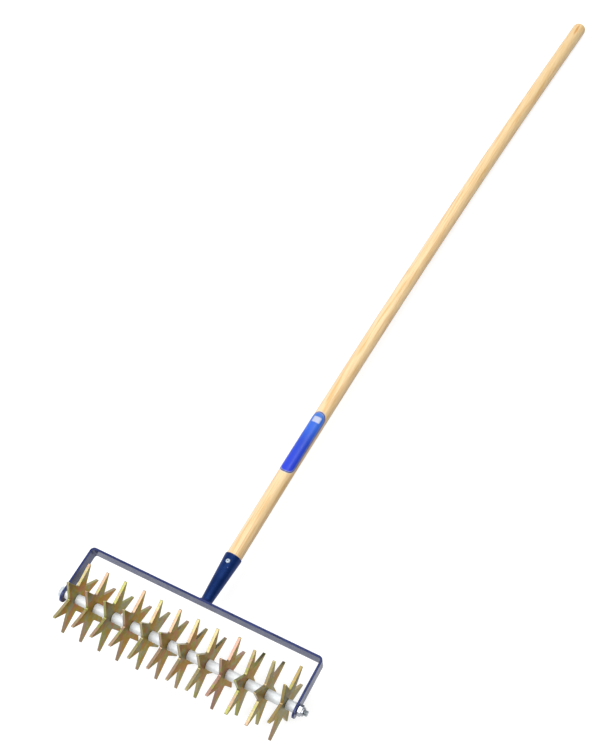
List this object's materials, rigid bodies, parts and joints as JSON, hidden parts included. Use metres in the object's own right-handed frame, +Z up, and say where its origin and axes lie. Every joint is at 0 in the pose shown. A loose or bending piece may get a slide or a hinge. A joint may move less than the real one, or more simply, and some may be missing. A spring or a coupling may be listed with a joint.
{
  "type": "rotary star cultivator",
  "caption": "Long-handled garden cultivator: a bent flat bar carries loose star wheels and spacer tubes on an axle bolt, with a socket for a wooden handle.",
  "frame": {"origin": "on the floor, under the middle of the lying tool's bounding box", "axes": "+X along the axle towards the lock nut, +Y from the axle towards the handle's butt, +Z up from the floor"},
  "size_m": [0.4642, 1.6748, 0.1229],
  "materials": {
    "blue_paint": "dark blue paint, semi-gloss",
    "weld_paint": "the same dark blue paint over a rippled weld",
    "zinc_yellow": "zinc plated and yellow passivated, iridescent",
    "spacer_steel": "bright zinc plated tube",
    "bolt_steel": "bright zinc plated",
    "nut_steel": "bright zinc plated",
    "nylon": "dark blue-green nylon",
    "ash_wood": "pale clear-varnished ash, grain along the stick",
    "rivet_steel": "bright domed blind rivet"
  },
  "bodies": {
    "frame": {"yoke": "blue_paint", "socket": "blue_paint", "weld_bead": "weld_paint", "handle": "ash_wood", "handle_rivet": "rivet_steel", "axle_bolt": "bolt_steel", "lock_nut": "nut_steel", "lock_nut_insert": "nylon"},
    "spacer_01_body": {"spacer_01": "spacer_steel"},
    "spacer_02_body": {"spacer_02": "spacer_steel"},
    "spacer_03_body": {"spacer_03": "spacer_steel"},
    "spacer_04_body": {"spacer_04": "spacer_steel"},
    "spacer_05_body": {"spacer_05": "spacer_steel"},
    "spacer_06_body": {"spacer_06": "spacer_steel"},
    "spacer_07_body": {"spacer_07": "spacer_steel"},
    "spacer_08_body": {"spacer_08": "spacer_steel"},
    "spacer_09_body": {"spacer_09": "spacer_steel"},
    "spacer_10_body": {"spacer_10": "spacer_steel"},
    "spacer_11_body": {"spacer_11": "spacer_steel"},
    "spacer_12_body": {"spacer_12": "spacer_steel"},
    "spacer_13_body": {"spacer_13": "spacer_steel"},
    "star_01_body": {"star_01": "zinc_yellow"},
    "star_02_body": {"star_02": "zinc_yellow"},
    "star_03_body": {"star_03": "zinc_yellow"},
    "star_04_body": {"star_04": "zinc_yellow"},
    "star_05_body": {"star_05": "zinc_yellow"},
    "star_06_body": {"star_06": "zinc_yellow"},
    "star_07_body": {"star_07": "zinc_yellow"},
    "star_08_body": {"star_08": "zinc_yellow"},
    "star_09_body": {"star_09": "zinc_yellow"},
    "star_10_body": {"star_10": "zinc_yellow"},
    "star_11_body": {"star_11": "zinc_yellow"},
    "star_12_body": {"star_12": "zinc_yellow"}
  },
  "joints": [
    {"name": "spacer_01_spin", "type": "hinge", "parent": "frame", "child": "spacer_01_body", "pos_m": [-0.2126, -0.77694, 0.06145], "axis": [1, 0, 0], "continuous": true},
    {"name": "spacer_02_spin", "type": "hinge", "parent": "frame", "child": "spacer_02_body", "pos_m": [-0.184, -0.77694, 0.06145], "axis": [1, 0, 0], "continuous": true},
    {"name": "spacer_03_spin", "type": "hinge", "parent": "frame", "child": "spacer_03_body", "pos_m": [-0.1481, -0.77694, 0.06145], "axis": [1, 0, 0], "continuous": true},
    {"name": "spacer_04_spin", "type": "hinge", "parent": "frame", "child": "spacer_04_body", "pos_m": [-0.1122, -0.77694, 0.06145], "axis": [1, 0, 0], "continuous": true},
    {"name": "spacer_05_spin", "type": "hinge", "parent": "frame", "child": "spacer_05_body", "pos_m": [-0.0763, -0.77694, 0.06145], "axis": [1, 0, 0], "continuous": true},
    {"name": "spacer_06_spin", "type": "hinge", "parent": "frame", "child": "spacer_06_body", "pos_m": [-0.0404, -0.77694, 0.06145], "axis": [1, 0, 0], "continuous": true},
    {"name": "spacer_07_spin", "type": "hinge", "parent": "frame", "child": "spacer_07_body", "pos_m": [-0.0045, -0.77694, 0.06145], "axis": [1, 0, 0], "continuous": true},
    {"name": "spacer_08_spin", "type": "hinge", "parent": "frame", "child": "spacer_08_body", "pos_m": [0.0314, -0.77694, 0.06145], "axis": [1, 0, 0], "continuous": true},
    {"name": "spacer_09_spin", "type": "hinge", "parent": "frame", "child": "spacer_09_body", "pos_m": [0.0673, -0.77694, 0.06145], "axis": [1, 0, 0], "continuous": true},
    {"name": "spacer_10_spin", "type": "hinge", "parent": "frame", "child": "spacer_10_body", "pos_m": [0.1032, -0.77694, 0.06145], "axis": [1, 0, 0], "continuous": true},
    {"name": "spacer_11_spin", "type": "hinge", "parent": "frame", "child": "spacer_11_body", "pos_m": [0.1391, -0.77694, 0.06145], "axis": [1, 0, 0], "continuous": true},
    {"name": "spacer_12_spin", "type": "hinge", "parent": "frame", "child": "spacer_12_body", "pos_m": [0.175, -0.77694, 0.06145], "axis": [1, 0, 0], "continuous": true},
    {"name": "spacer_13_spin", "type": "hinge", "parent": "frame", "child": "spacer_13_body", "pos_m": [0.2036, -0.77694, 0.06145], "axis": [1, 0, 0], "continuous": true},
    {"name": "star_01_spin", "type": "hinge", "parent": "frame", "child": "star_01_body", "pos_m": [-0.20195, -0.77694, 0.06145], "axis": [1, 0, 0], "continuous": true},
    {"name": "star_02_spin", "type": "hinge", "parent": "frame", "child": "star_02_body", "pos_m": [-0.16605, -0.77694, 0.06145], "axis": [1, 0, 0], "continuous": true},
    {"name": "star_03_spin", "type": "hinge", "parent": "frame", "child": "star_03_body", "pos_m": [-0.13015, -0.77694, 0.06145], "axis": [1, 0, 0], "continuous": true},
    {"name": "star_04_spin", "type": "hinge", "parent": "frame", "child": "star_04_body", "pos_m": [-0.09425, -0.77694, 0.06145], "axis": [1, 0, 0], "continuous": true},
    {"name": "star_05_spin", "type": "hinge", "parent": "frame", "child": "star_05_body", "pos_m": [-0.05835, -0.77694, 0.06145], "axis": [1, 0, 0], "continuous": true},
    {"name": "star_06_spin", "type": "hinge", "parent": "frame", "child": "star_06_body", "pos_m": [-0.02245, -0.77694, 0.06145], "axis": [1, 0, 0], "continuous": true},
    {"name": "star_07_spin", "type": "hinge", "parent": "frame", "child": "star_07_body", "pos_m": [0.01345, -0.77694, 0.06145], "axis": [1, 0, 0], "continuous": true},
    {"name": "star_08_spin", "type": "hinge", "parent": "frame", "child": "star_08_body", "pos_m": [0.04935, -0.77694, 0.06145], "axis": [1, 0, 0], "continuous": true},
    {"name": "star_09_spin", "type": "hinge", "parent": "frame", "child": "star_09_body", "pos_m": [0.08525, -0.77694, 0.06145], "axis": [1, 0, 0], "continuous": true},
    {"name": "star_10_spin", "type": "hinge", "parent": "frame", "child": "star_10_body", "pos_m": [0.12115, -0.77694, 0.06145], "axis": [1, 0, 0], "continuous": true},
    {"name": "star_11_spin", "type": "hinge", "parent": "frame", "child": "star_11_body", "pos_m": [0.15705, -0.77694, 0.06145], "axis": [1, 0, 0], "continuous": true},
    {"name": "star_12_spin", "type": "hinge", "parent": "frame", "child": "star_12_body", "pos_m": [0.19295, -0.77694, 0.06145], "axis": [1, 0, 0], "continuous": true}
  ]
}
